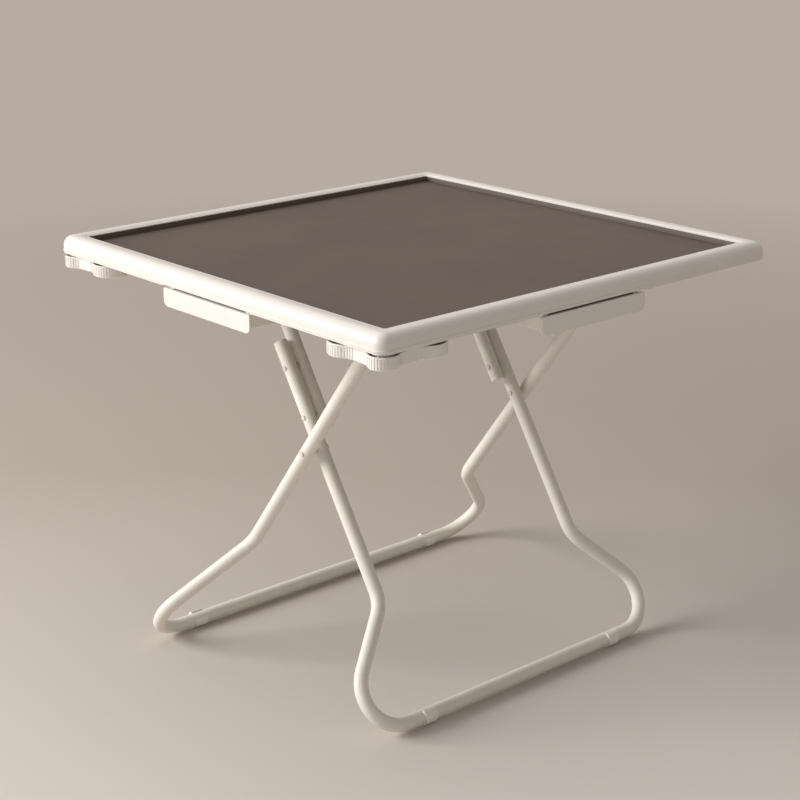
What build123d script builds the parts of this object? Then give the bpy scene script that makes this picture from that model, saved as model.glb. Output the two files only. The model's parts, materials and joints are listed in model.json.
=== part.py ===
from build123d import *
import os
from math import atan2, cos, degrees, hypot, radians, sin, tan

# Folding card table. Millimetres, +Z up, origin on the floor under the middle of the top.
# +X runs along the foot bars, front is -Y, left is -X.

# General
run_gap = 0.05
slide_gap = 0.1
side_gap = 0.3
cut_over = 2.0

# Top
top_side = 900.0
top_height = 766.0
rim_height = 28.5
rim_width = 38.0
rim_corner_radius = 22.0
rim_round = 18.0
rim_lip_round = 2.0
crown_height = 3.0
crown_width = 16.0
bead_height = 4.0
bead_step = 1.0
ledge_width = 16.0
ledge_height = 5.0
inner_corner_radius = 5.0
corner_piece_side = 54.0
panel_thickness = 10.0
panel_gap = 0.2

# Cross battens under the panel
batten_height = 12.0
batten_width = 44.0
hinge_batten_length = 400.0
hook_batten_margin = 14.0

# Leg tubes and where they cross, from front to back as shares of the top's side
tube_radius = 12.5
tube_wall = 1.5
bend_radius = 65.0
cross_y_share = -0.03733333
cross_below_top = 333.0

# Inner leg frame, its foot bar near the front
inner_half = 237.0
inner_foot_y_share = -0.33388889
inner_flare_start = 205.6
inner_flare_angle = 41.45
inner_above_cross = 203.0
link_pivot_above_cross = 59.5
lock_above_cross = 153.3

# Outer leg frame, outside the inner one, its foot bar near the back
leg_gap = 5.5
outer_foot_y_share = 0.31611111
outer_flare_start = 250.0
outer_flare_angle = 40.03
hook_below_top = 103.12
outer_past_hook = 15.0

# Link frame that carries the inner leg from the top, its hinge just in front of the inner leg's line
link_gap = 3.0
link_below_pivot = 28.4
link_past_hinge = 12.0
hinge_below_top = 60.0
hinge_before_leg = 3.924
hinge_tube_radius = 9.5

# Hinge blocks
block_x = 150.0
block_width = 24.0
block_round = 15.0
block_foot_length = 40.0
block_foot_height = 6.0

# Hook plates that hold the outer leg's pins
hook_plate = 4.0
hook_side_gap = 4.0
hook_width = 44.0
hook_below_pin = 14.0
hook_corner = 10.0
hook_flange = 22.0
hook_pin_radius = 5.0
hook_pin_gap = 0.3
hook_mouth_drop = 9.0

# Pins and rivets
pin_radius = 3.2
rivet_head_radius = 5.0
rivet_head = 1.2
rivet_edge = 0.6
spacer_radius = 7.0
lock_nose = 1.4
notch_gap = 1.1
hook_head_radius = 7.0

# End caps and foot clips
cap_thickness = 3.0
cap_plug = 6.0
cap_edge = 1.2
clip_wall = 3.0
clip_width = 25.0
clip_mouth_angle = 45.0
clip_mouth_raise = 40.0
clip_lip = 1.8
inner_clip_x = 229.0
outer_clip_x = 295.5

# Drawers. Each sits a little to the right of the middle of its side.
drawer_shift = 4.7
front_width = 242.0
front_height = 31.8
front_thickness = 3.7
front_below_rim = 5.5
front_low_corner = 11.0
front_top_corner = 3.0
front_edge_round = 1.0
pad_thickness = 1.2
pad_margin = 16.0
box_width = 222.0
box_depth = 152.0
box_height = 31.5
box_below_rim = 1.5
box_wall = 2.2
box_corner = 8.0
frame_thickness = 3.5
frame_margin = 1.0
frame_corner = 8.0
frame_below_plate = 0.5
flange_width = 5.0
flange_thickness = 3.0
case_front_gap = 1.0
case_wall = 2.0
case_roof = 1.5
case_foot_grip = 4.0
case_foot = 2.0

# Corner trays
tray_height = 22.0
tray_below_rim = 29.0
tray_wall = 2.2
tray_floor = 2.4
corner_lobe_radius = 25.0
side_lobe_radius = 32.0
waist_half = 17.0
waist_round = 38.0
tray_edge_round = 3.0
tray_pivot_inset = 26.0
side_lobe_inset = 34.0
side_lobe_reach = 119.0
rib_width = 2.6
rib_height = 0.7
rib_below_top = 2.3
rib_pitch = 5.1
corner_rib_reach = 2.0
side_rib_reach = 12.0
hub_radius = 12.0
boss_radius = 18.0
pivot_radius = 4.0
pivot_head_radius = 8.0
pivot_head = 2.0

# Derived places
half = top_side / 2
inner_side = half - rim_width
rim_bottom = top_height - rim_height
panel_bottom = rim_bottom + ledge_height
batten_bottom = panel_bottom - batten_height
foot_z = tube_radius + clip_wall
cross_y = cross_y_share * top_side
cross_z = top_height - cross_below_top
inner_foot_y = inner_foot_y_share * top_side
outer_foot_y = outer_foot_y_share * top_side
outer_half = inner_half + 2 * tube_radius + leg_gap
link_half = inner_half - 2 * tube_radius - link_gap


class LegLine:
    """The straight line of a leg frame seen from the side, from its foot bar up through the crossing."""

    def __init__(self, foot_y):
        self.foot_y = foot_y
        self.to_cross = hypot(cross_y - foot_y, cross_z - foot_z)
        self.dy = (cross_y - foot_y) / self.to_cross
        self.dz = (cross_z - foot_z) / self.to_cross
        self.plane = Plane(origin=(0, foot_y, foot_z), x_dir=(1, 0, 0), z_dir=(0, -self.dz, self.dy))

    def above_cross(self, distance):
        """Y and Z of the point that lies this far above the crossing."""
        return (cross_y + self.dy * distance, cross_z + self.dz * distance)

    def end_plane(self, x, distance):
        """Plane across the tube at this distance above the crossing, its normal up the leg."""
        y, z = self.above_cross(distance)
        return Plane(origin=(x, y, z), x_dir=(1, 0, 0), z_dir=(0, self.dy, self.dz))


inner_line = LegLine(inner_foot_y)
outer_line = LegLine(outer_foot_y)
link_pivot = inner_line.above_cross(link_pivot_above_cross)
lock_point = inner_line.above_cross(lock_above_cross)
hook_above_cross = (top_height - hook_below_top - cross_z) / outer_line.dz
hook_point = outer_line.above_cross(hook_above_cross)
cross_point = (cross_y, cross_z)
hinge_z = top_height - hinge_below_top
hinge_y = inner_line.above_cross((hinge_z - cross_z) / inner_line.dz)[0] - hinge_before_leg
hinge_point = (hinge_y, hinge_z)
link_length = hypot(hinge_y - link_pivot[0], hinge_z - link_pivot[1])
link_dy = (hinge_y - link_pivot[0]) / link_length
link_dz = (hinge_z - link_pivot[1]) / link_length

sides = (("left", -1), ("right", 1))
edges_around = (("front", 0), ("right", 1), ("back", 2), ("left", 3))
quarter_turn = 90

os.makedirs("parts", exist_ok=True)


def save(builder, label):
    builder.part.label = label
    export_step(builder.part, f"parts/{label}.step")


def turned(quarter):
    """Frame with -Y pointing out over the chosen side of the top."""
    return Plane.XY.rotated((0, 0, quarter_turn * quarter))


def discs_along_x(side, centre, steps):
    """Stack of round steps along X, each from one distance to another off the middle plane."""
    for near, far, radius in steps:
        with BuildSketch(Plane.YZ.offset(side * near)) as disc:
            with Locations(centre):
                Circle(radius)
        extrude(disc.sketch, amount=side * (far - near))


def bore_along_x(side, centre, near, far, radius):
    with BuildSketch(Plane.YZ.offset(side * near)) as disc:
        with Locations(centre):
            Circle(radius)
    extrude(disc.sketch, amount=side * (far - near), mode=Mode.SUBTRACT)


# Rim ring, later parted into four rails and four corner pieces
with BuildPart() as rim_ring:
    with BuildSketch(Plane.XY.offset(rim_bottom)):
        RectangleRounded(top_side, top_side, rim_corner_radius)
    extrude(amount=bead_height)
    with BuildSketch(Plane.XY.offset(rim_bottom + bead_height)):
        slim_side = top_side - 2 * bead_step
        RectangleRounded(slim_side, slim_side, rim_corner_radius - bead_step)
    extrude(amount=rim_height - bead_height)
    fillet(rim_ring.edges().group_by(Axis.Z)[-1], min(rim_round, rim_corner_radius - 2 * bead_step))
    with BuildSketch(Plane.XY.offset(panel_bottom)):
        RectangleRounded(2 * inner_side, 2 * inner_side, inner_corner_radius)
    extrude(amount=rim_height, mode=Mode.SUBTRACT)
    with BuildSketch(Plane.XY.offset(rim_bottom)):
        opening_side = 2 * (inner_side - ledge_width)
        Rectangle(opening_side, opening_side)
    extrude(amount=rim_height, mode=Mode.SUBTRACT)
    # The top falls from its crown to a low lip round the panel
    lip_height = top_height - crown_height
    with BuildSketch(Plane.XY.offset(lip_height)) as lip_outline:
        RectangleRounded(2 * inner_side, 2 * inner_side, inner_corner_radius)
    with BuildSketch(Plane.XY.offset(top_height)) as crown_outline:
        crown_side = 2 * (inner_side + crown_width)
        RectangleRounded(crown_side, crown_side, inner_corner_radius + crown_width)
    loft(sections=[lip_outline.sketch, crown_outline.sketch], ruled=True, mode=Mode.SUBTRACT)
    lip_edges = rim_ring.edges().filter_by_position(Axis.Z, lip_height - run_gap, lip_height + run_gap).filter_by(
        lambda e: max(abs(e.center().X), abs(e.center().Y)) < inner_side + rim_lip_round
    )
    fillet(lip_edges, rim_lip_round)

rail_length = top_side - 2 * corner_piece_side
for name, quarter in edges_around:
    with BuildPart() as rim_rail:
        add(rim_ring.part)
        with BuildSketch(turned(quarter).offset(rim_bottom)):
            with Locations((0, -half)):
                Rectangle(rail_length, 2 * (rim_width + ledge_width + cut_over))
        extrude(amount=rim_height, mode=Mode.INTERSECT)
    save(rim_rail, f"rim_rail_{name}")

corner_names = (("front_left", -1, -1), ("front_right", 1, -1), ("back_right", 1, 1), ("back_left", -1, 1))
for name, sx, sy in corner_names:
    with BuildPart() as rim_corner:
        add(rim_ring.part)
        with BuildSketch(Plane.XY.offset(rim_bottom)):
            with Locations((sx * half, sy * half)):
                Rectangle(2 * corner_piece_side, 2 * corner_piece_side)
        extrude(amount=rim_height, mode=Mode.INTERSECT)
    save(rim_corner, f"rim_corner_{name}")

with BuildPart() as playing_panel:
    with BuildSketch(Plane.XY.offset(panel_bottom)):
        panel_side = 2 * (inner_side - panel_gap)
        RectangleRounded(panel_side, panel_side, inner_corner_radius)
    extrude(amount=panel_thickness)
save(playing_panel, "playing_panel")

# Battens screwed under the panel
hook_near = outer_half + tube_radius + hook_side_gap
hook_batten_length = 2 * (hook_near + hook_flange + hook_batten_margin)
for name, y, length in (("hinge_batten", hinge_y, hinge_batten_length),
                        ("hook_batten", hook_point[0], hook_batten_length)):
    with BuildPart() as batten:
        with BuildSketch(Plane.XY.offset(batten_bottom)):
            with Locations((0, y)):
                Rectangle(length, batten_width)
        extrude(amount=batten_height)
    save(batten, name)

for name, side in sides:
    with BuildPart() as hinge_block:
        with BuildSketch(Plane.YZ.offset(side * (block_x - block_width / 2))):
            with Locations(hinge_point):
                Circle(block_round)
            with Locations((hinge_y, (hinge_z + batten_bottom) / 2)):
                Rectangle(2 * block_round, batten_bottom - hinge_z)
            with Locations((hinge_y, batten_bottom - block_foot_height / 2)):
                Rectangle(block_foot_length, block_foot_height)
            with Locations(hinge_point):
                Circle(hinge_tube_radius + run_gap, mode=Mode.SUBTRACT)
        extrude(amount=side * block_width)
    save(hinge_block, f"hinge_block_{name}")

# Hook plates, open towards the front so that the pins leave with the first movement of the fold
slot_half = hook_pin_radius + hook_pin_gap
hook_low = hook_point[1] - hook_below_pin
for name, side in sides:
    with BuildPart() as hook_bracket:
        with BuildSketch(Plane.YZ.offset(side * hook_near)):
            with Locations((hook_point[0], (hook_low + batten_bottom) / 2)):
                Rectangle(hook_width, batten_bottom - hook_low)
        extrude(amount=side * hook_plate)
        fillet(hook_bracket.edges().filter_by(Axis.X).group_by(Axis.Z)[0], hook_corner)
        with BuildSketch(Plane.YZ.offset(side * hook_near)):
            with Locations(hook_point):
                Circle(slot_half)
            with BuildLine():
                front_y = hook_point[0] - hook_width / 2 - cut_over
                Polyline(
                    (hook_point[0], hook_point[1] + slot_half),
                    (front_y, hook_point[1] + slot_half - hook_pin_gap),
                    (front_y, hook_point[1] - slot_half - hook_mouth_drop),
                    (hook_point[0], hook_point[1] - slot_half),
                    close=True,
                )
            make_face()
        extrude(amount=side * hook_plate, mode=Mode.SUBTRACT)
        with BuildSketch(Plane.XY.offset(batten_bottom - hook_plate)):
            with Locations((side * (hook_near + hook_flange / 2), hook_point[0])):
                Rectangle(hook_flange, hook_width)
        extrude(amount=hook_plate)
    save(hook_bracket, f"hook_bracket_{name}")


def bent_leg(line, half_width, flare_start, flare_angle, top_distance):
    """Hollow bent tube: two uprights, a flare on each side and the foot bar, in the plane of the leg."""
    corner_x = half_width + flare_start * tan(radians(flare_angle))
    top = line.to_cross + top_distance
    with BuildLine(line.plane) as path:
        FilletPolyline(
            (-half_width, top),
            (-half_width, flare_start),
            (-corner_x, 0),
            (corner_x, 0),
            (half_width, flare_start),
            (half_width, top),
            radius=bend_radius,
        )
    with BuildSketch(line.end_plane(-half_width, top_distance)) as ring:
        Circle(tube_radius)
        Circle(tube_radius - tube_wall, mode=Mode.SUBTRACT)
    sweep(ring.sketch, path=path.line)


inner_tube_end = inner_above_cross - cap_thickness
outer_above_cross = hook_above_cross + outer_past_hook
with BuildPart() as inner_leg_tube:
    bent_leg(inner_line, inner_half, inner_flare_start, inner_flare_angle, inner_tube_end)
    for _, side in sides:
        for point in (cross_point, link_pivot, lock_point):
            bore_along_x(side, point, inner_half - tube_radius - cut_over,
                         inner_half + tube_radius + cut_over, pin_radius)
save(inner_leg_tube, "inner_leg_tube")

with BuildPart() as outer_leg_tube:
    bent_leg(outer_line, outer_half, outer_flare_start, outer_flare_angle, outer_above_cross - cap_thickness)
    for _, side in sides:
        bore_along_x(side, cross_point, outer_half - tube_radius - cut_over,
                     outer_half + tube_radius + cut_over, pin_radius + run_gap)
        bore_along_x(side, hook_point, outer_half, outer_half + tube_radius + cut_over, hook_pin_radius)
save(outer_leg_tube, "outer_leg_tube")

# Link frame: two short tubes welded to the ends of the tube that turns in the hinge blocks
link_top_plane = Plane(
    origin=(0, hinge_y + link_dy * link_past_hinge, hinge_z + link_dz * link_past_hinge),
    x_dir=(1, 0, 0), z_dir=(0, -link_dy, -link_dz),
)
link_span = link_length + link_past_hinge + link_below_pivot - cap_thickness
notch_lift = pin_radius + notch_gap
notch_floor = link_half + tube_radius - lock_nose - side_gap
for name, side in sides:
    with BuildPart() as link_tube:
        with BuildSketch(link_top_plane):
            with Locations((side * link_half, 0)):
                Circle(tube_radius)
                Circle(tube_radius - tube_wall, mode=Mode.SUBTRACT)
        extrude(amount=link_span)
        bore_along_x(side, link_pivot, link_half - tube_radius - cut_over,
                     link_half + tube_radius + cut_over, pin_radius + run_gap)
        with BuildSketch(Plane(origin=(side * notch_floor, *lock_point), x_dir=(0, link_dz, -link_dy),
                               z_dir=(1, 0, 0))):
            Circle(pin_radius + slide_gap)
            with Locations((-tube_radius / 2, 0)):
                Rectangle(tube_radius, 2 * notch_lift)
            with Locations((-tube_radius, 0)):
                Rectangle(tube_radius, 2 * notch_lift)
        extrude(amount=side * tube_radius, mode=Mode.SUBTRACT)
    save(link_tube, f"link_tube_{name}")

with BuildPart() as hinge_tube:
    with BuildSketch(Plane.YZ):
        with Locations(hinge_point):
            Circle(hinge_tube_radius)
            Circle(hinge_tube_radius - tube_wall, mode=Mode.SUBTRACT)
    extrude(amount=link_half, both=True)
    with BuildSketch(link_top_plane):
        with Locations((-link_half, 0), (link_half, 0)):
            Circle(tube_radius)
    extrude(amount=link_span, mode=Mode.SUBTRACT)
save(hinge_tube, "hinge_tube")

# End caps pushed into the open tube ends
link_low_plane = Plane(
    origin=(0, link_pivot[0] - link_dy * (link_below_pivot - cap_thickness),
            link_pivot[1] - link_dz * (link_below_pivot - cap_thickness)),
    x_dir=(1, 0, 0), z_dir=(0, -link_dy, -link_dz),
)
inner_end_plane = inner_line.end_plane(0, inner_tube_end)
outer_end_plane = outer_line.end_plane(0, outer_above_cross - cap_thickness)
cap_seats = (("inner_leg_cap", inner_end_plane, inner_half), ("outer_leg_cap", outer_end_plane, outer_half),
             ("link_cap", link_low_plane, link_half))
for cap_name, seat, offset_x in cap_seats:
    for name, side in sides:
        with BuildPart() as end_cap:
            with BuildSketch(seat):
                with Locations((side * offset_x, 0)):
                    Circle(tube_radius)
            extrude(amount=cap_thickness)
            chamfer(end_cap.faces().sort_by(Axis(seat.origin, seat.z_dir))[-1].edges(), cap_edge)
            with BuildSketch(seat):
                with Locations((side * offset_x, 0)):
                    Circle(tube_radius - tube_wall)
            extrude(amount=-cap_plug)
        save(end_cap, f"{cap_name}_{name}")

# Pins. Distances are measured off the middle plane, outwards.
inner_near = inner_half - tube_radius
inner_far = inner_half + tube_radius
outer_near = outer_half - tube_radius
outer_far = outer_half + tube_radius
link_near = link_half - tube_radius
link_far = link_half + tube_radius
with BuildPart() as cross_rivets:
    for _, side in sides:
        discs_along_x(side, cross_point, (
            (inner_near - rivet_head, inner_near, rivet_head_radius),
            (inner_near, outer_far + side_gap, pin_radius),
            (inner_far, outer_near - side_gap, spacer_radius),
            (outer_far + side_gap, outer_far + side_gap + rivet_head, rivet_head_radius),
        ))
    for end_face in (cross_rivets.faces().sort_by(Axis.X)[0], cross_rivets.faces().sort_by(Axis.X)[-1]):
        chamfer(end_face.edges(), rivet_edge)
save(cross_rivets, "cross_rivets")

with BuildPart() as link_rivets:
    for _, side in sides:
        discs_along_x(side, link_pivot, (
            (link_near - side_gap - rivet_head, link_near - side_gap, rivet_head_radius),
            (link_near - side_gap, inner_far, pin_radius),
            (link_far + side_gap, inner_near, spacer_radius),
            (inner_far, inner_far + rivet_head, rivet_head_radius),
        ))
    for end_face in (link_rivets.faces().sort_by(Axis.X)[0], link_rivets.faces().sort_by(Axis.X)[-1]):
        chamfer(end_face.edges(), rivet_edge)
save(link_rivets, "link_rivets")

with BuildPart() as lock_pins:
    for _, side in sides:
        discs_along_x(side, lock_point, (
            (link_far - lock_nose, inner_far, pin_radius),
            (link_far + side_gap, inner_near, rivet_head_radius),
            (inner_far, inner_far + rivet_head, rivet_head_radius),
        ))
    for end_face in (lock_pins.faces().sort_by(Axis.X)[0], lock_pins.faces().sort_by(Axis.X)[-1]):
        chamfer(end_face.edges(), rivet_edge)
save(lock_pins, "lock_pins")

pin_end = hook_near + hook_plate + side_gap
with BuildPart() as hook_pins:
    for _, side in sides:
        discs_along_x(side, hook_point, (
            (outer_half, pin_end, hook_pin_radius),
            (pin_end, pin_end + rivet_head, hook_head_radius),
        ))
save(hook_pins, "hook_pins")

# Foot clips: open rings snapped on the foot bars, mouth towards the middle of the table and upwards
clip_seats = (("inner_foot_clip", inner_foot_y, inner_clip_x, clip_mouth_raise),
              ("outer_foot_clip", outer_foot_y, outer_clip_x, 2 * quarter_turn - clip_mouth_raise))
for clip_name, y, x, mouth_turn in clip_seats:
    for name, side in sides:
        with BuildPart() as foot_clip:
            with BuildSketch(Plane.YZ.offset(side * x - clip_width / 2)):
                with Locations((y, foot_z)):
                    Circle(tube_radius + clip_wall)
                    Circle(tube_radius, mode=Mode.SUBTRACT)
                mouth_far = 2 * tube_radius
                mouth_rise = mouth_far * tan(radians(clip_mouth_angle / 2))
                with Locations(Location((y, foot_z), mouth_turn)):
                    Polygon((0, 0), (mouth_far, -mouth_rise), (mouth_far, mouth_rise),
                            align=None, mode=Mode.SUBTRACT)
                lip_angles = (mouth_turn - clip_mouth_angle / 2, mouth_turn + clip_mouth_angle / 2)
                for angle in lip_angles:
                    lip_centre = tube_radius + clip_lip
                    with Locations((y + lip_centre * cos(radians(angle)), foot_z + lip_centre * sin(radians(angle)))):
                        Circle(clip_lip)
                with Locations((y, foot_z)):
                    Circle(tube_radius, mode=Mode.SUBTRACT)
            extrude(amount=clip_width)
        save(foot_clip, f"{clip_name}_{name}")

# Drawers: a moulded box with a front frame and side flanges, a front plate that stands off
# the frame on a pad, and a bent case under the panel
front_top = rim_bottom - front_below_rim
front_back = half - front_thickness - pad_thickness
box_top = rim_bottom - box_below_rim
box_bottom = box_top - box_height
box_rear = front_back - box_depth
flange_half = box_width / 2 + flange_width
flange_bottom = box_top - flange_thickness
case_front = inner_side - ledge_width - case_front_gap
case_inside = flange_half + slide_gap
case_foot_top = flange_bottom - slide_gap
case_rear = box_rear - slide_gap - case_wall
case_depth = case_front - case_rear
for name, quarter in edges_around:
    frame = turned(quarter)
    out_axis = Axis(frame.origin, -frame.y_dir)
    with BuildPart() as drawer_front:
        plate_plane = Plane(origin=frame.from_local_coords((drawer_shift, -half, front_top - front_height / 2)),
                            x_dir=frame.x_dir, z_dir=-frame.y_dir)
        with BuildSketch(plate_plane) as plate_outline:
            Rectangle(front_width, front_height)
            fillet(plate_outline.vertices().group_by(Axis.Y)[0], front_low_corner)
            fillet(plate_outline.vertices().group_by(Axis.Y)[-1], front_top_corner)
        extrude(amount=-front_thickness)
        fillet(drawer_front.faces().sort_by(out_axis)[-1].edges(), front_edge_round)
        with BuildSketch(plate_plane.offset(-front_thickness)):
            Rectangle(box_width - 2 * pad_margin, front_height - 2 * front_top_corner)
        extrude(amount=-pad_thickness)
    save(drawer_front, f"drawer_front_{name}")

    with BuildPart() as drawer_box:
        with BuildSketch(frame.offset(box_bottom)):
            with Locations((drawer_shift, -front_back + box_depth / 2)):
                Rectangle(box_width, box_depth)
        extrude(amount=box_height)
        fillet(drawer_box.faces().sort_by(Axis.Z)[0].edges(), box_corner / 2)
        with BuildSketch(frame.offset(flange_bottom)):
            with Locations((drawer_shift, -front_back + box_depth / 2)):
                Rectangle(2 * flange_half, box_depth)
        extrude(amount=flange_thickness)
        frame_plane = Plane(origin=frame.from_local_coords((drawer_shift, -front_back, box_top - box_height / 2)),
                            x_dir=frame.x_dir, z_dir=-frame.y_dir)
        with BuildSketch(frame_plane):
            RectangleRounded(front_width - 2 * frame_margin, box_height, frame_corner)
        extrude(amount=-frame_thickness)
        # The front wall stays below the plate's top edge, so that a hand's fingers find the gap under the rim
        with BuildSketch(frame.offset(front_top - frame_below_plate)):
            with Locations((drawer_shift, -front_back)):
                Rectangle(front_width, 2 * frame_thickness)
        extrude(amount=front_below_rim + frame_below_plate, mode=Mode.SUBTRACT)
        with BuildSketch(frame.offset(box_bottom + box_wall)):
            with Locations((drawer_shift, -front_back + (box_depth + frame_thickness - box_wall) / 2)):
                RectangleRounded(box_width - 2 * box_wall, box_depth - frame_thickness - box_wall, box_corner)
        extrude(amount=box_height, mode=Mode.SUBTRACT)
    save(drawer_box, f"drawer_box_{name}")

    with BuildPart() as drawer_case:
        case_half = case_inside + case_wall
        case_middle = -(case_front + case_rear) / 2
        with BuildSketch(frame.offset(case_foot_top - case_foot)):
            with Locations((drawer_shift, case_middle)):
                Rectangle(2 * case_half, case_depth)
        extrude(amount=panel_bottom - case_foot_top + case_foot)
        with BuildSketch(frame.offset(case_foot_top)):
            with Locations((drawer_shift, case_middle - case_wall)):
                Rectangle(2 * case_inside, case_depth)
        extrude(amount=panel_bottom - case_roof - case_foot_top, mode=Mode.SUBTRACT)
        with BuildSketch(frame.offset(case_foot_top - case_foot)):
            with Locations((drawer_shift, case_middle - case_wall)):
                Rectangle(2 * (case_inside - case_foot_grip), case_depth)
        extrude(amount=case_foot + slide_gap, mode=Mode.SUBTRACT)
    save(drawer_case, f"drawer_case_{name}")

# Corner trays: three ribbed cups in one moulding, turning on a boss under the corner of the rim
tray_bottom = rim_bottom - tray_below_rim
tray_top = tray_bottom + tray_height
tray_corners = (("front_left", -1, -1), ("back_left", -1, 1))
for name, sx, sy in tray_corners:
    pivot_xy = (sx * (half - tray_pivot_inset), sy * (half - tray_pivot_inset))
    side_lobes = (
        (sx * (half - side_lobe_inset), sy * (half - side_lobe_reach)),
        (sx * (half - side_lobe_reach), sy * (half - side_lobe_inset)),
    )
    with BuildSketch() as trefoil:
        with BuildLine():
            Polyline(pivot_xy, *side_lobes, close=True)
        make_face()
        offset(amount=waist_half)
        with Locations(pivot_xy):
            Circle(corner_lobe_radius)
        with Locations(*side_lobes):
            Circle(side_lobe_radius)
        fillet(trefoil.vertices(), waist_round)
    with BuildSketch() as trefoil_inside:
        add(trefoil.sketch)
        offset(amount=-tray_wall)
    # Ribs stand all round the lobes, and the necks between them stay smooth
    outline = trefoil.sketch.face().outer_wire()
    rib_count = round(outline.length / rib_pitch)
    ribbed_lobes = (
        (pivot_xy, corner_lobe_radius + corner_rib_reach),
        (side_lobes[0], side_lobe_radius + side_rib_reach),
        (side_lobes[1], side_lobe_radius + side_rib_reach),
    )
    rib_spots = []
    for k in range(rib_count):
        along = outline.length * k / rib_count
        point = outline.position_at(along, position_mode=PositionMode.LENGTH)
        tangent = outline.tangent_at(along, position_mode=PositionMode.LENGTH)
        if any(hypot(point.X - x, point.Y - y) < reach for (x, y), reach in ribbed_lobes):
            rib_spots.append(Location((point.X, point.Y), degrees(atan2(tangent.Y, tangent.X))))
    with BuildPart() as corner_tray:
        with BuildSketch(Plane.XY.offset(tray_bottom)):
            add(trefoil.sketch)
        extrude(amount=tray_height)
        fillet(corner_tray.faces().sort_by(Axis.Z)[0].edges(), tray_edge_round)
        with BuildSketch(Plane.XY.offset(tray_bottom + tray_edge_round)):
            with Locations(*rib_spots):
                Rectangle(rib_width, 2 * rib_height)
        extrude(amount=tray_height - tray_edge_round - rib_below_top)
        with BuildSketch(Plane.XY.offset(tray_bottom + tray_floor)):
            add(trefoil_inside.sketch)
        extrude(amount=tray_height, mode=Mode.SUBTRACT)
        with BuildSketch(Plane.XY.offset(tray_bottom)):
            with Locations(pivot_xy):
                Circle(hub_radius)
        extrude(amount=tray_height)
        with BuildSketch(Plane.XY.offset(tray_bottom)):
            with Locations(pivot_xy):
                Circle(pivot_radius + run_gap)
        extrude(amount=tray_height, mode=Mode.SUBTRACT)
    save(corner_tray, f"corner_tray_{name}")

    with BuildPart() as tray_pivot:
        with BuildSketch(Plane.XY.offset(tray_top + slide_gap)):
            with Locations(pivot_xy):
                Circle(boss_radius)
        extrude(amount=rim_bottom - tray_top - slide_gap)
        with BuildSketch(Plane.XY.offset(tray_bottom - slide_gap)):
            with Locations(pivot_xy):
                Circle(pivot_radius)
        extrude(amount=tray_height + 2 * slide_gap)
        with BuildSketch(Plane.XY.offset(tray_bottom - slide_gap - pivot_head)):
            with Locations(pivot_xy):
                Circle(pivot_head_radius)
        extrude(amount=pivot_head)
    save(tray_pivot, f"tray_pivot_{name}")
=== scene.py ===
import json
from math import atan2, cos, hypot, radians, sin

import bmesh
import bpy
from mathutils import Matrix, Vector


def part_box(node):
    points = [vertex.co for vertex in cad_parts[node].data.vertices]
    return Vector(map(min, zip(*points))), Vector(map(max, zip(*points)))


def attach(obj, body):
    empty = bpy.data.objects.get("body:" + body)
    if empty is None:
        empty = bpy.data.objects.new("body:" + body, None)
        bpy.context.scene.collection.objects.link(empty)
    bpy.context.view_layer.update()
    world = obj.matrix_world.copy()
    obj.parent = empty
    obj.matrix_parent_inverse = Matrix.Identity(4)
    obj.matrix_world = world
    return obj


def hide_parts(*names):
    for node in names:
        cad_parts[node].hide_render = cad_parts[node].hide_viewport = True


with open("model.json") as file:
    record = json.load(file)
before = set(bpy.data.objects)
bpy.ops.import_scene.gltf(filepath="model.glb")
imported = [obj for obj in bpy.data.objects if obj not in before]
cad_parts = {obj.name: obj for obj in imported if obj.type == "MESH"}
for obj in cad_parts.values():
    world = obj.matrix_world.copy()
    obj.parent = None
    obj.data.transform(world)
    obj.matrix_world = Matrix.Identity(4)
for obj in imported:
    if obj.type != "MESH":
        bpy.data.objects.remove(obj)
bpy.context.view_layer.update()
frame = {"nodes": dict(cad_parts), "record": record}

# Sizes of the table in metres, as the frame has them
TOP_HALF = 0.450
TOP_HEIGHT = 0.766
LIP_HEIGHT = 0.763
RIM_BOTTOM = 0.7375
RIM_WIDTH = 0.038
RIM_CORNER = 0.022
RIM_ROUND = 0.018
LEDGE_WIDTH = 0.016
LEDGE_TOP = 0.7425
BEAD_HEIGHT = 0.004
BEAD_STEP = 0.001
INNER_HALF = TOP_HALF - RIM_WIDTH
INNER_CORNER = 0.005
LEG_TUBE_RADIUS = 0.0125
HINGE_TUBE_RADIUS = 0.0095
LINK_HALF = 0.209

# Where the rim's rails meet its corner pieces, and how far each stays back from there
SEAM_PLACE = 0.3958
SEAM_GAP = 0.00005

# How far off a point may be and still count as level with a height, or as right above another
LEVEL_PLAY = 1e-5
UPRIGHT_PLAY = 1e-6

# A face whose normal has at least this much of a direction looks that way
FACING = 0.9

# The colour that the eye and reflections see far behind the table
BACKDROP = (184, 171, 162)

# Sockets of the Mix node where it mixes colours
MIX_SHARE, MIX_FIRST, MIX_SECOND, MIX_RESULT = 0, 6, 7, 2


class Flow:
    """A number that runs through a finish's nodes; the usual signs add Math nodes to it."""

    def __init__(self, finish, socket):
        self.finish = finish
        self.socket = socket

    def math(self, operation, first, second):
        return self.finish.node("ShaderNodeMath", {"operation": operation}, {0: first, 1: second})

    def __add__(self, other):
        return self.math("ADD", self, other)

    def __radd__(self, other):
        return self.math("ADD", other, self)

    def __mul__(self, other):
        return self.math("MULTIPLY", self, other)

    def __rmul__(self, other):
        return self.math("MULTIPLY", other, self)


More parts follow.
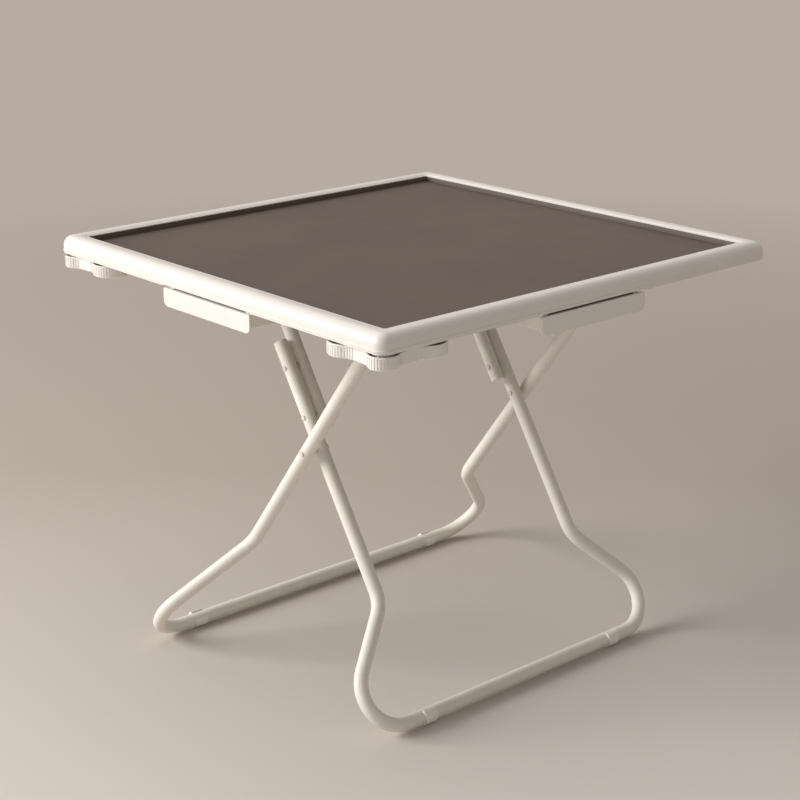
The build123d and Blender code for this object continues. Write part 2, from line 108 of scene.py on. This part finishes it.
class Finish:
    """One of the table's finishes: a material, its shader and the nodes that feed it."""

    def __init__(self, name):
        self.material = bpy.data.materials.new(name)
        self.material.use_nodes = True
        self.tree = self.material.node_tree
        self.tree.nodes.clear()
        self.shader = self.tree.nodes.new("ShaderNodeBsdfPrincipled")
        self.out = self.tree.nodes.new("ShaderNodeOutputMaterial")
        self.tree.links.new(self.shader.outputs[0], self.out.inputs["Surface"])
        self.place = self.node("ShaderNodeTexCoord", {}, {}, "Object")

    def node(self, kind, settings, inputs, output=0):
        made = self.tree.nodes.new(kind)
        for key, value in settings.items():
            setattr(made, key, value)
        for key, value in inputs.items():
            if isinstance(value, Flow):
                self.tree.links.new(value.socket, made.inputs[key])
            else:
                made.inputs[key].default_value = value
        return Flow(self, made.outputs[output])

    def same_node(self, flow, output):
        """Another output of the node that a value comes from."""
        return Flow(self, flow.socket.node.outputs[output])

    def noise(self, scale, detail=3.0, roughness=0.5, stretch=(1.0, 1.0, 1.0)):
        """Cloudy value from 0 to 1, its features about 1/scale metres across."""
        spot = self.node("ShaderNodeMapping", {}, {"Vector": self.place, "Scale": stretch})
        return self.node("ShaderNodeTexNoise", {}, {
            "Vector": spot, "Scale": scale, "Detail": detail, "Roughness": roughness,
        })

    def cells(self, scale):
        """Distance to the middle of small cells, of which there are about 'scale' to the metre."""
        return self.node("ShaderNodeTexVoronoi", {}, {"Vector": self.place, "Scale": scale})

    def between(self, share, low, high):
        """Colour that goes from low to high as the share goes from 0 to 1."""
        return self.node("ShaderNodeMix", {"data_type": "RGBA"},
                         {MIX_SHARE: share, MIX_FIRST: low, MIX_SECOND: high}, MIX_RESULT)

    def spread(self, value, low, high, span=(0.3, 0.7)):
        """The value's span, where most of a noise lies, brought to the numbers from low to high."""
        return self.node("ShaderNodeMapRange", {}, {
            "Value": value, "From Min": span[0], "From Max": span[1], "To Min": low, "To Max": high,
        })

    def bump(self, height, strength, distance):
        return self.node("ShaderNodeBump", {}, {
            "Height": height, "Strength": strength, "Distance": distance,
        })

    def feed(self, **sockets):
        for name, value in sockets.items():
            socket = self.shader.inputs[name.replace("_", " ")]
            if isinstance(value, Flow):
                self.tree.links.new(value.socket, socket)
            else:
                socket.default_value = value


def shade(red, green, blue):
    """Linear colour of a shade that is given as it looks on a screen, from 0 to 255."""
    def linear(c):
        c = c / 255
        return c / 12.92 if c <= 0.04045 else ((c + 0.055) / 1.055) ** 2.4
    return (linear(red), linear(green), linear(blue), 1.0)


def white_moulding(name, light, dark, gloss):
    """Moulded white plastic: faint clouding, a fine orange-peel skin and satin gloss."""
    finish = Finish(name)
    cloud = finish.noise(scale=9.0, detail=4.0)
    skin = finish.noise(scale=900.0, detail=2.0)
    finish.feed(
        Base_Color=finish.between(finish.spread(cloud, 0.0, 1.0), dark, light),
        Roughness=finish.spread(skin, gloss - 0.04, gloss + 0.05),
        Normal=finish.bump(skin, strength=0.06, distance=0.0004),
        IOR=1.48,
        Coat_Weight=0.15,
        Coat_Roughness=0.3,
    )
    return finish.material


def powder_paint(name, light, dark, gloss):
    """Stoved powder paint on steel: even cream colour with a slight pebbled surface."""
    finish = Finish(name)
    cloud = finish.noise(scale=14.0, detail=4.0)
    pebble = finish.noise(scale=1100.0, detail=2.0)
    finish.feed(
        Base_Color=finish.between(finish.spread(cloud, 0.0, 1.0), dark, light),
        Roughness=finish.spread(cloud, gloss, gloss + 0.08),
        Normal=finish.bump(pebble, strength=0.10, distance=0.0004),
        IOR=1.5,
    )
    return finish.material


def panel_laminate():
    """Matte dark brown leather-grain face of the playing panel, slightly mottled."""
    finish = Finish("panel_laminate")
    cloud = finish.noise(scale=3.2, detail=5.0, roughness=0.62)
    streak = finish.noise(scale=26.0, detail=4.0, roughness=0.6, stretch=(1.0, 0.35, 1.0))
    grain = finish.cells(scale=620.0)
    fine = finish.noise(scale=1500.0, detail=2.0)
    tone = finish.spread(cloud * 0.65 + streak * 0.35, 0.0, 1.0, span=(0.35, 0.65))
    finish.feed(
        Base_Color=finish.between(tone, shade(92, 80, 72), shade(102, 90, 81)),
        Roughness=finish.spread(streak, 0.50, 0.60),
        Normal=finish.bump(grain * 0.6 + fine * 0.4, strength=0.12, distance=0.0005),
        IOR=1.45,
    )
    return finish.material


def zinc_plate():
    """Dull zinc plating on the screws."""
    finish = Finish("zinc_plate")
    cloud = finish.noise(scale=260.0, detail=4.0, roughness=0.6)
    finish.feed(
        Base_Color=finish.between(cloud, shade(150, 148, 144), shade(196, 193, 188)),
        Metallic=1.0,
        Roughness=finish.spread(cloud, 0.32, 0.48),
        Normal=finish.bump(cloud, strength=0.08, distance=0.0002),
    )
    return finish.material


def fibreboard():
    """Brown fibreboard of the battens, its fibres drawn out along the board."""
    finish = Finish("fibreboard")
    fibre = finish.noise(scale=340.0, detail=5.0, roughness=0.7, stretch=(1.0, 4.0, 4.0))
    cloud = finish.noise(scale=12.0, detail=3.0)
    finish.feed(
        Base_Color=finish.between(fibre * 0.6 + cloud * 0.4, shade(120, 92, 66), shade(168, 136, 102)),
        Roughness=0.8,
        Normal=finish.bump(fibre, strength=0.25, distance=0.0004),
    )
    return finish.material


rim_white = white_moulding("rim_white", shade(238, 234, 229), shade(234, 229, 223), 0.40)
drawer_white = white_moulding("drawer_white", shade(240, 236, 231), shade(236, 231, 225), 0.40)
tray_white = white_moulding("tray_white", shade(245, 242, 238), shade(240, 236, 231), 0.42)
nylon_white = white_moulding("nylon_white", shade(240, 236, 230), shade(233, 228, 221), 0.42)
clip_white = white_moulding("clip_white", shade(250, 247, 242), shade(246, 242, 236), 0.45)
tube_cream = powder_paint("tube_cream", shade(242, 238, 231), shade(237, 232, 224), 0.42)
sheet_cream = powder_paint("sheet_cream", shade(236, 229, 219), shade(229, 221, 210), 0.40)
rivet_cream = powder_paint("rivet_cream", shade(226, 219, 209), shade(216, 208, 197), 0.44)
panel_brown = panel_laminate()
zinc = zinc_plate()
board = fibreboard()

SLOT_FINISHES = {
    "rim_white": rim_white,
    "panel_brown": panel_brown,
    "batten_board": board,
    "white_nylon": nylon_white,
    "painted_sheet": sheet_cream,
    "drawer_white": drawer_white,
    "tray_white": tray_white,
    "tube_cream": tube_cream,
    "zinc_steel": rivet_cream,
}
slot_of = {s["node"]: s["material_slot"] for s in frame["record"]["subparts"]}
for node_name, node in frame["nodes"].items():
    node.data.materials.clear()
    node.data.materials.append(SLOT_FINISHES[slot_of[node_name]])


def clear_bench():
    """Leaves edit mode, with nothing selected."""
    if bpy.context.object and bpy.context.object.mode != "OBJECT":
        bpy.ops.object.mode_set(mode="OBJECT")
    bpy.ops.object.select_all(action="DESELECT")


def only(piece):
    clear_bench()
    piece.select_set(True)
    bpy.context.view_layer.objects.active = piece


def start_piece(name):
    """The primitive that was just added becomes a piece, with its size and place in its mesh."""
    piece = bpy.context.object
    piece.name = name
    bpy.ops.object.transform_apply(location=True, rotation=True, scale=True)
    return piece


def throw_away(piece):
    bpy.data.objects.remove(piece, do_unlink=True)


def copy_of(piece, name):
    only(piece)
    bpy.ops.object.duplicate(linked=False)
    made = bpy.context.object
    made.name = name
    return made


def start_shaping():
    if bpy.context.object.mode != "EDIT":
        bpy.ops.object.mode_set(mode="EDIT")


def stop_shaping():
    bpy.ops.object.mode_set(mode="OBJECT")


def choose(kind, test):
    """Selects, in edit mode, the edges or faces of the active piece that pass the test."""
    start_shaping()
    bpy.ops.mesh.select_mode(type=kind)
    bpy.ops.mesh.select_all(action="DESELECT")
    shape = bmesh.from_edit_mesh(bpy.context.object.data)
    for member in {"EDGE": shape.edges, "FACE": shape.faces}[kind]:
        if test(member):
            member.select_set(True)
    bmesh.update_edit_mesh(bpy.context.object.data)


def round_edges(test, width, steps):
    choose("EDGE", test)
    bpy.ops.mesh.bevel(offset=width, segments=steps, affect="EDGES")


def draw_out(height):
    """Pulls the chosen faces up by the height, or down where it is below 0, with new walls."""
    bpy.ops.mesh.extrude_region_move(TRANSFORM_OT_translate={"value": (0.0, 0.0, height)})


def same_height(edge, height):
    return all(abs(v.co.z - height) < LEVEL_PLAY for v in edge.verts)


def stands_upright(edge):
    a, b = edge.verts
    return abs(a.co.x - b.co.x) < UPRIGHT_PLAY and abs(a.co.y - b.co.y) < UPRIGHT_PLAY


def middle_of(low, high):
    return tuple((a + b) / 2 for a, b in zip(low, high))


def slab(name, centre, size):
    clear_bench()
    bpy.ops.mesh.primitive_cube_add(size=1.0, location=centre, scale=size)
    return start_piece(name)


def rounded_slab(name, half, low, high, radius, steps):
    """Square slab with rounded upright corners, standing on the middle of the table."""
    made = slab(name, (0.0, 0.0, (low + high) / 2), (2 * half, 2 * half, high - low))
    round_edges(stands_upright, radius, steps)
    stop_shaping()
    return made


def boolean(piece, other, operation):
    """Cuts the other shape out of the piece, or joins it on, and throws the other one away."""
    only(piece)
    step = piece.modifiers.new("step", "BOOLEAN")
    step.object = other
    step.operation = operation
    step.solver = "EXACT"
    bpy.ops.object.modifier_apply(modifier=step.name)
    throw_away(other)


def cut_away(piece, walls, close):
    """Cuts the piece at each wall, which is given by a point and the way that is thrown away."""
    only(piece)
    start_shaping()
    for point, away in walls:
        bpy.ops.mesh.select_all(action="SELECT")
        bpy.ops.mesh.bisect(plane_co=point, plane_no=away, use_fill=close, clear_outer=True)
    stop_shaping()


def smooth_by_angle(piece, angle):
    only(piece)
    bpy.ops.object.shade_smooth_by_angle(angle=radians(angle))


def beads_outer_loop(edge):
    """True if the edge lies on the outer one of the two loops where the flank meets the bead."""
    corner_middle = TOP_HALF - RIM_CORNER
    for v in edge.verts:
        x, y = abs(v.co.x), abs(v.co.y)
        if x > corner_middle and y > corner_middle:
            if hypot(x - corner_middle, y - corner_middle) < RIM_CORNER - BEAD_STEP / 2:
                return False
        elif max(x, y) < TOP_HALF - BEAD_STEP / 2:
            return False
    return True


def opening_plug():
    """Shape of the rim's opening, from its wide top inwards and down: dome, groove, flat lip, wall."""
    overlap = 0.0002
    plug_height = 0.02
    dome_steps = ((0.0060, 0.0006), (0.0040, 0.0008), (0.0026, 0.0010), (0.0014, 0.0013))
    groove_width = 0.0008
    groove_depth = 0.0007
    lip_width = 0.0025
    reach = INNER_HALF + lip_width + groove_width + sum(width for width, fall in dome_steps)
    bottom = TOP_HEIGHT + overlap
    plug = rounded_slab("plug", reach, bottom, bottom + plug_height, INNER_CORNER + reach - INNER_HALF, 10)
    choose("FACE", lambda f: f.normal.z < -FACING)
    for width, fall in dome_steps:
        bpy.ops.mesh.inset(thickness=width, depth=fall)
    bpy.ops.mesh.inset(thickness=groove_width, depth=-groove_depth)
    bpy.ops.mesh.inset(thickness=lip_width)
    draw_out(LEDGE_TOP - LIP_HEIGHT)
    stop_shaping()
    return plug


def rim_ring():
    """The whole rim as one ring: bead, domed flank and an opening whose edge falls to a low lip."""
    round_steps = 14
    edge_steps = 3
    bead_top_round = 0.0008
    bead_low_round = 0.0010
    lip_round = 0.0006
    bead_top = RIM_BOTTOM + BEAD_HEIGHT
    ring = rounded_slab("rim_ring", TOP_HALF, RIM_BOTTOM, bead_top, RIM_CORNER, round_steps)
    choose("FACE", lambda f: f.normal.z > FACING)
    bpy.ops.mesh.inset(thickness=BEAD_STEP)
    draw_out(TOP_HEIGHT - bead_top)
    round_edges(lambda e: same_height(e, TOP_HEIGHT), RIM_ROUND, round_steps)
    round_edges(lambda e: same_height(e, bead_top) and beads_outer_loop(e), bead_top_round, edge_steps)
    round_edges(lambda e: same_height(e, RIM_BOTTOM), bead_low_round, edge_steps)
    stop_shaping()
    boolean(ring, opening_plug(), "DIFFERENCE")

    below_height = 0.1
    below = 2 * (INNER_HALF - LEDGE_WIDTH)
    boolean(ring, slab("below", (0.0, 0.0, RIM_BOTTOM), (below, below, below_height)), "DIFFERENCE")

    def lips_inner_edge(edge):
        reach = max(abs(c) for v in edge.verts for c in v.co.xy)
        return same_height(edge, LIP_HEIGHT) and reach < INNER_HALF + LEVEL_PLAY

    only(ring)
    round_edges(lips_inner_edge, lip_round, edge_steps)
    stop_shaping()
    return ring


def part_off(ring, name, walls):
    """A copy of the ring, cut off at the walls, takes the place of one rail or corner piece."""
    piece = copy_of(ring, name)
    cut_away(piece, walls, close=True)
    smooth_by_angle(piece, 32)
    piece.data.materials.append(rim_white)
    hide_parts(name)
    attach(piece, "table_top")
    piece.name = name + "_moulding"


def on_axis(axis, value):
    """Point or direction with the value on one axis, and 0 on the other two."""
    return tuple(value if number == axis else 0.0 for number in range(3))


def make_rim():
    """Four rails and four corner pieces. For a rail, the ring's far half goes first."""
    ring = rim_ring()
    for side, along, sign in (("front", 0, -1), ("back", 0, 1), ("left", 1, -1), ("right", 1, 1)):
        half_ring = copy_of(ring, "half_ring")
        cut_away(half_ring, [((0.0, 0.0, 0.0), on_axis(1 - along, -sign))], close=False)
        seam = SEAM_PLACE - SEAM_GAP
        walls = [(on_axis(along, end * seam), on_axis(along, end)) for end in (-1, 1)]
        part_off(half_ring, f"rim_rail_{side}", walls)
        throw_away(half_ring)
    for name, *signs in (("front_left", -1, -1), ("front_right", 1, -1),
                         ("back_right", 1, 1), ("back_left", -1, 1)):
        seam = SEAM_PLACE + SEAM_GAP
        walls = [(on_axis(axis, sign * seam), on_axis(axis, -sign)) for axis, sign in enumerate(signs)]
        part_off(ring, f"rim_corner_{name}", walls)
    throw_away(ring)


make_rim()


def line_the_recess():
    """Brown edging that lines the wall of the recess, from the playing panel up to the lip."""
    thickness = 0.0011
    hidden = 0.0001
    below_lip = 0.0012
    past = 0.01
    edge_round = 0.0003
    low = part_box("playing_panel")[1][2] + hidden
    high = LIP_HEIGHT - below_lip
    outer = INNER_HALF - hidden
    lining = rounded_slab("panel_edging", outer, low, high, INNER_CORNER - hidden, 8)
    inner = rounded_slab("inner", outer - thickness, low - past, high + past, INNER_CORNER - thickness, 8)
    boolean(lining, inner, "DIFFERENCE")
    round_edges(lambda e: same_height(e, high), edge_round, 2)
    stop_shaping()
    smooth_by_angle(lining, 40)
    lining.data.materials.append(panel_brown)
    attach(lining, "table_top")


line_the_recess()


def under_frame():
    """Thin white frame under the rim, set back a little, that steps up over the way of each drawer."""
    set_back = 0.0012
    drop = 0.0026
    hidden = 0.0005
    width = 0.046
    past = 0.05
    play = 0.0015
    play_above = 0.0002
    piece = rounded_slab("under_frame", TOP_HALF - set_back, RIM_BOTTOM - drop, RIM_BOTTOM + hidden,
                         RIM_CORNER - set_back, 12)
    inside = 2 * (TOP_HALF - width)
    boolean(piece, slab("inside", (0.0, 0.0, RIM_BOTTOM), (inside, inside, past)), "DIFFERENCE")
    for side in ("front", "right", "back", "left"):
        box_low, box_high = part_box(f"drawer_box_{side}")
        front_low, front_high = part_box(f"drawer_front_{side}")
        lowest = [min(a, b) - play for a, b in zip(box_low, front_low)]
        highest = [max(a, b) + play for a, b in zip(box_high, front_high)]
        highest[2] = box_high[2] + play_above
        size = tuple(b - a for a, b in zip(lowest, highest))
        boolean(piece, slab("drawer_way", middle_of(lowest, highest), size), "DIFFERENCE")
    smooth_by_angle(piece, 32)
    piece.data.materials.append(rim_white)
    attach(piece, "table_top")


under_frame()


def round_bar(name, radius, length):
    """Smooth round bar along the foot bars, at the origin."""
    clear_bench()
    bpy.ops.mesh.primitive_cylinder_add(vertices=96, radius=radius, depth=length,
                                        rotation=(0.0, radians(90), 0.0))
    return start_piece(name)


def snap_clip(node, body, mouth):
    """Ring snapped over a foot bar, its mouth a quarter of the round and turned up by the angle."""
    radius = 0.0155
    bore_play = 0.00005
    edge_round = 0.0006
    sharp_angle = 40
    quarter_middle = 45
    low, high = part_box(node)
    length = high[0] - low[0]
    clip = round_bar(node + "_moulding", radius, length)
    boolean(clip, round_bar("bore", LEG_TUBE_RADIUS + bore_play, 2 * length), "DIFFERENCE")
    reach = 2 * radius
    boolean(clip, slab("mouth", (0.0, reach / 2, reach / 2), (2 * length, reach, reach)), "DIFFERENCE")
    only(clip)
    edge = clip.modifiers.new("edge", "BEVEL")
    edge.width = edge_round
    edge.segments = 3
    edge.limit_method = "ANGLE"
    edge.angle_limit = radians(sharp_angle)
    bpy.ops.object.modifier_apply(modifier=edge.name)
    clip.rotation_euler.x = radians(mouth - quarter_middle)
    clip.location = middle_of(low, high)
    bpy.ops.object.transform_apply(location=True, rotation=True, scale=True)
    smooth_by_angle(clip, 35)
    clip.data.materials.append(clip_white)
    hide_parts(node)
    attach(clip, body)


MOUTH_RAISE = 60
for end in ("left", "right"):
    snap_clip(f"inner_foot_clip_{end}", "inner_leg", MOUTH_RAISE)
    snap_clip(f"outer_foot_clip_{end}", "outer_leg", 180 - MOUTH_RAISE)


def cross_head_screw():
    """Head of one small cross-head screw that looks down, half sunk above the seat at height 0."""
    radius = 0.0036
    head = 0.0016
    head_round = 0.0011
    cross_length = 0.0042
    cross_width = 0.0008
    cross_depth = 0.0018
    clear_bench()
    bpy.ops.mesh.primitive_cylinder_add(vertices=24, radius=radius, depth=2 * head)
    screw = start_piece("screw")
    round_edges(lambda e: same_height(e, -head), head_round, 4)
    stop_shaping()
    for across, along in ((cross_length, cross_width), (cross_width, cross_length)):
        boolean(screw, slab("cross", (0.0, 0.0, -head), (across, along, cross_depth)), "DIFFERENCE")
    screw.data.materials.append(zinc)
    return screw


def drive_screws(screw, name, places, size=1.0):
    """Copies of the screw, each turned as it happened to end up, driven in at the places."""
    turn_between = 37
    copies = []
    for number, place in enumerate(places):
        driven = copy_of(screw, f"{name}_{number}")
        bpy.ops.transform.resize(value=(size, size, size), center_override=(0.0, 0.0, 0.0))
        bpy.ops.transform.rotate(value=radians(number * turn_between), orient_axis="Z",
                                 center_override=(0.0, 0.0, 0.0))
        bpy.ops.transform.translate(value=place)
        copies.append(driven)
    clear_bench()
    for driven in copies:
        driven.select_set(True)
    bpy.context.view_layer.objects.active = copies[0]
    bpy.ops.object.join()
    group = bpy.context.object
    group.name = name
    bpy.ops.object.transform_apply(location=True, rotation=True, scale=True)
    smooth_by_angle(group, 35)
    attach(group, "table_top")


def screw_the_top():
    """Screws of the battens, the hinge blocks, the hook brackets and the tray pivots."""
    block_foot_edge = 0.0026
    block_foot_height = 0.006
    block_screws_apart = 0.014
    block_screw_size = 0.62
    bracket_plate = 0.004
    bracket_side_edge = 0.009
    bracket_end_edge = 0.010
    pivot_screw_size = 1.15
    screw = cross_head_screw()
    for batten, row in (("hinge_batten", (-0.188, -0.065, 0.065, 0.188)),
                        ("hook_batten", (-0.25, -0.085, 0.085, 0.25))):
        low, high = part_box(batten)
        middle = middle_of(low, high)[1]
        drive_screws(screw, f"{batten}_screws", [(x, middle, low[2]) for x in row])
    for side in ("left", "right"):
        low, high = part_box(f"hinge_block_{side}")
        middle = middle_of(low, high)[0]
        places = [(middle + aside, y, high[2] - block_foot_height)
                  for aside in (-block_screws_apart / 2, block_screws_apart / 2)
                  for y in (low[1] + block_foot_edge, high[1] - block_foot_edge)]
        drive_screws(screw, f"hinge_block_screws_{side}", places, block_screw_size)
        low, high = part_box(f"hook_bracket_{side}")
        x = low[0] + bracket_side_edge if side == "left" else high[0] - bracket_side_edge
        places = [(x, y, high[2] - bracket_plate)
                  for y in (low[1] + bracket_end_edge, high[1] - bracket_end_edge)]
        drive_screws(screw, f"hook_bracket_screws_{side}", places)
    places = []
    for corner in ("front_left", "back_left"):
        low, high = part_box(f"tray_pivot_{corner}")
        places.append((*middle_of(low, high)[:2], low[2]))
    drive_screws(screw, "tray_pivot_screws", places, pivot_screw_size)
    throw_away(screw)


screw_the_top()

joint_place = {j["name"]: Vector(j["pos_m"]) for j in frame["record"]["behaviour"]["joints"]
               if "pos_m" in j}


def weld_bead(name, side):
    """Rippled weld round the end of the hinge tube, laid against the round of the link tube."""
    bead_radius = 0.0017
    stand_off = 0.0005
    ripples = 18
    ripple_height = 0.00025
    clear_bench()
    bpy.ops.mesh.primitive_torus_add(
        rotation=(0.0, radians(90), 0.0), major_radius=HINGE_TUBE_RADIUS + stand_off,
        minor_radius=bead_radius, major_segments=6 * ripples, minor_segments=10,
    )
    bead = start_piece(name)
    hinge = joint_place["link_fold"]
    along = (hinge - joint_place["inner_leg_fold"]).normalized()
    start_shaping()
    bpy.ops.mesh.select_all(action="SELECT")
    shape = bmesh.from_edit_mesh(bead.data)
    for v in shape.verts:
        turn = atan2(v.co.z, v.co.y)
        off_line = v.co.y * along.z - v.co.z * along.y
        meets = LINK_HALF - (LEG_TUBE_RADIUS ** 2 - off_line ** 2) ** 0.5
        swell = 1 + ripple_height * sin(ripples * turn) / HINGE_TUBE_RADIUS
        v.co.y *= swell
        v.co.z *= swell
        v.co = Vector((v.co.x + side * meets, v.co.y + hinge.y, v.co.z + hinge.z))
    bmesh.update_edit_mesh(bead.data)
    bpy.ops.mesh.normals_make_consistent(inside=False)
    stop_shaping()
    smooth_by_angle(bead, 60)
    bead.data.materials.append(tube_cream)
    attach(bead, "link_frame")


weld_bead("link_weld_left", -1)
weld_bead("link_weld_right", 1)


def floor_paint():
    """Pale floor, with painted shade that makes it a little darker towards the back.

    Far from the table, the eye and reflections see the backdrop's colour instead."""
    finish = Finish("floor_with_painted_shade")
    across = finish.node("ShaderNodeSeparateXYZ", {}, {"Vector": finish.place}, "X")
    depth = across + finish.same_node(across, "Y")
    near = finish.spread(depth, 1.0, 0.0, span=(-1.2, 1.2))
    finish.feed(
        # The darker far colour is painted shade: it stands in for the light falling off towards the back.
        Base_Color=finish.between(near, shade(188, 178, 170), shade(227, 220, 214)),
        Roughness=0.8,
        Specular_IOR_Level=0.2,
    )
    away = finish.node("ShaderNodeVectorMath", {"operation": "LENGTH"}, {"Vector": finish.place}, "Value")
    far = finish.spread(away, 0.0, 1.0, span=(1.4, 4.2))
    camera_ray = finish.node("ShaderNodeLightPath", {}, {}, "Is Camera Ray")
    gloss_ray = finish.same_node(camera_ray, "Is Glossy Ray")
    glow = finish.node("ShaderNodeEmission", {}, {"Color": shade(*BACKDROP), "Strength": 1.0})
    mixed = finish.node("ShaderNodeMixShader", {}, {0: far * (camera_ray + gloss_ray), 2: glow})
    finish.tree.links.new(finish.shader.outputs[0], mixed.socket.node.inputs[1])
    finish.tree.links.new(mixed.socket, finish.out.inputs["Surface"])
    return finish.material


FLOOR_SIDE = 60.0
clear_bench()
bpy.ops.mesh.primitive_plane_add(size=FLOOR_SIDE, location=(0.0, 0.0, 0.0))
floor = bpy.context.object
floor.name = "floor"
floor.data.materials.append(floor_paint())

CAMERA_PLACE = Vector((-2.1113, -2.4010, 1.5098))
CAMERA_TURN = radians(48.996)
CAMERA_DIP = radians(18.158)
CAMERA_ROLL = radians(-0.39)
CAMERA_LENS = 82.36
SENSOR = 36.0


def place_camera():
    """Camera at the photograph's angle: turned towards the table, dipped, and rolled a little."""
    reach = cos(CAMERA_DIP)
    ahead = Vector((cos(CAMERA_TURN) * reach, sin(CAMERA_TURN) * reach, -sin(CAMERA_DIP)))
    level = Vector((sin(CAMERA_TURN), -cos(CAMERA_TURN), 0.0))
    upright = level.cross(ahead)
    right = level * cos(CAMERA_ROLL) + upright * sin(CAMERA_ROLL)
    above = upright * cos(CAMERA_ROLL) - level * sin(CAMERA_ROLL)
    lens = bpy.data.cameras.new("camera")
    lens.lens = CAMERA_LENS
    lens.sensor_width = SENSOR
    lens.clip_end = 100.0
    holder = bpy.data.objects.new("camera", lens)
    bpy.context.scene.collection.objects.link(holder)
    turned = Matrix((right, above, -ahead)).transposed().to_4x4()
    holder.matrix_world = Matrix.Translation(CAMERA_PLACE) @ turned
    return holder


bpy.context.scene.camera = place_camera()


def soft_light(name, place, aim, width, height, power, tint):
    lamp = bpy.data.lights.new(name, "AREA")
    lamp.shape = "RECTANGLE"
    lamp.size = width
    lamp.size_y = height
    lamp.energy = power
    lamp.color = tint
    holder = bpy.data.objects.new(name, lamp)
    bpy.context.scene.collection.objects.link(holder)
    holder.location = place
    holder.rotation_euler = (Vector(aim) - Vector(place)).to_track_quat("-Z", "Y").to_euler()


soft_light("window", place=(-5.5, 3.9, 3.4), aim=(0.0, 0.0, 0.5),
           width=4.4, height=3.6, power=550.0, tint=(1.0, 0.985, 0.965))
soft_light("overhead", place=(0.4, 0.6, 3.6), aim=(0.0, 0.0, 0.6),
           width=3.4, height=3.4, power=24.0, tint=(1.0, 0.98, 0.96))


def studio(light, strength):
    """World that lights the table from all round, and that the eye and reflections see as backdrop."""
    world = bpy.data.worlds.new("studio")
    world.use_nodes = True
    nodes = world.node_tree.nodes
    sky = nodes["Background"]
    sky.inputs["Color"].default_value = light
    sky.inputs["Strength"].default_value = strength
    backdrop = nodes.new("ShaderNodeBackground")
    backdrop.inputs["Color"].default_value = shade(*BACKDROP)
    ray = nodes.new("ShaderNodeLightPath")
    seen = nodes.new("ShaderNodeMath")
    seen.operation = "MAXIMUM"
    choice = nodes.new("ShaderNodeMixShader")
    for start, end in (
        (ray.outputs["Is Camera Ray"], seen.inputs[0]),
        (ray.outputs["Is Glossy Ray"], seen.inputs[1]),
        (seen.outputs[0], choice.inputs[0]),
        (sky.outputs[0], choice.inputs[1]),
        (backdrop.outputs[0], choice.inputs[2]),
        (choice.outputs[0], nodes["World Output"].inputs["Surface"]),
    ):
        world.node_tree.links.new(start, end)
    return world


bpy.context.scene.world = studio(light=shade(226, 218, 210), strength=0.42)
bpy.context.scene.view_settings.view_transform = "Standard"
